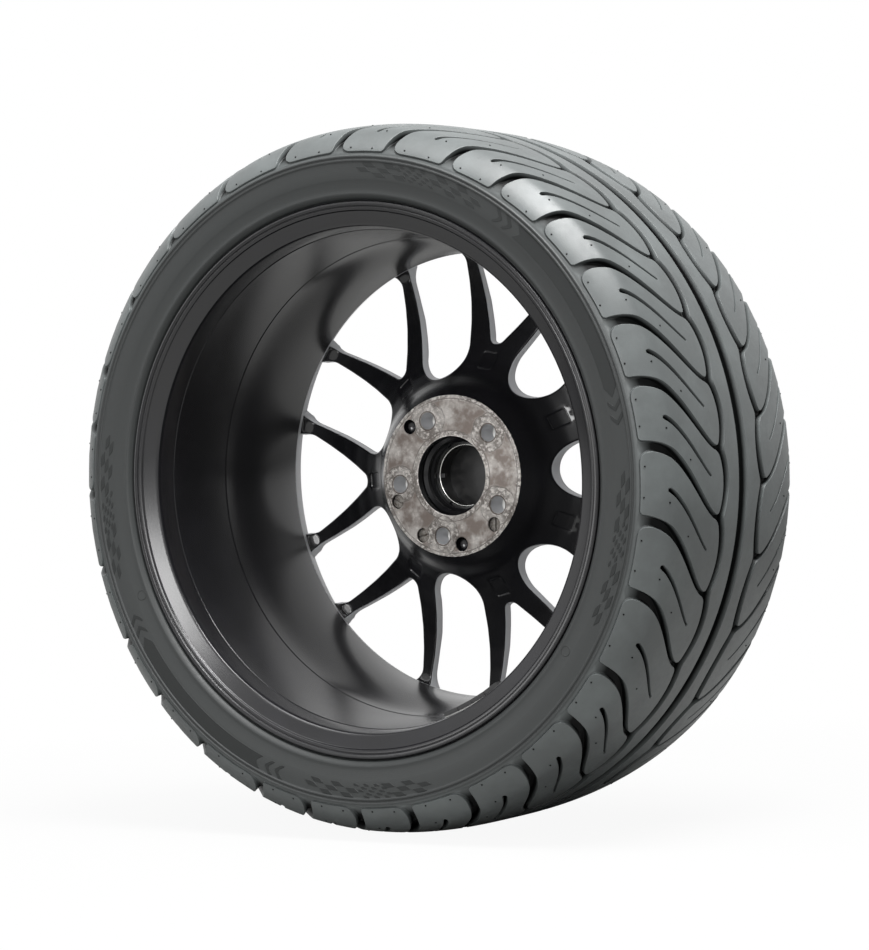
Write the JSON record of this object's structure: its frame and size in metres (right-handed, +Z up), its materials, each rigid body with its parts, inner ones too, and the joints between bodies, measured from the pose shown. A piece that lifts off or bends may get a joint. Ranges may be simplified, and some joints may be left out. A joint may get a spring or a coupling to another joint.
{
  "type": "tyre on alloy wheel",
  "caption": "Low-profile road tyre mounted on a black cast alloy wheel with paired spokes, bolt holes, centre cap, balance weights and tyre valve.",
  "frame": {"origin": "centre of the wheel, on the axle and on the middle plane of the rim", "axes": "+Y along the axle, from the car towards the outside; +Z up; +X to the right when seen from the car's side"},
  "size_m": [0.6426, 0.266, 0.6426],
  "materials": {
    "tread_rubber": "matte",
    "wheel_paint": "satin gloss black",
    "cap_plastic": "satin",
    "spring_steel": "bright",
    "worn_steel": "worn",
    "coated_steel": "satin",
    "tape_foam": "matte",
    "valve_metal": "satin",
    "seal_rubber": "matte",
    "plated_steel": "satin",
    "valve_brass": "satin",
    "cap_black": "matte"
  },
  "bodies": {
    "wheel_and_tyre": {"tyre": "tread_rubber", "wheel": "wheel_paint", "centre_cap": "cap_plastic", "cap_wire": "spring_steel", "pocket_screw_1": "worn_steel", "pocket_screw_2": "worn_steel", "pocket_screw_3": "worn_steel", "weight_1": "coated_steel", "weight_2": "coated_steel", "weight_3": "coated_steel", "weight_4": "coated_steel", "weight_tape": "tape_foam", "valve_stem": "valve_metal", "valve_grommet": "seal_rubber", "valve_washer": "plated_steel", "valve_nut": "plated_steel", "core_body": "valve_brass"},
    "valve_pin": {"core_pin": "plated_steel", "core_seal": "seal_rubber"},
    "cap": {"valve_cap": "cap_black", "valve_cap_gasket": "seal_rubber"}
  },
  "joints": [
    {"name": "pin_press", "type": "slide", "parent": "wheel_and_tyre", "child": "valve_pin", "axis": [0.6771, -0.7357, 0.0177], "range_m": [0, 0.001], "stiffness_N_per_m": 500, "springref_m": -0.001},
    {"name": "cap_off", "type": "slide", "parent": "wheel_and_tyre", "child": "cap", "axis": [-0.6771, 0.7357, -0.0177], "range_m": [0, 0.012]}
  ]
}
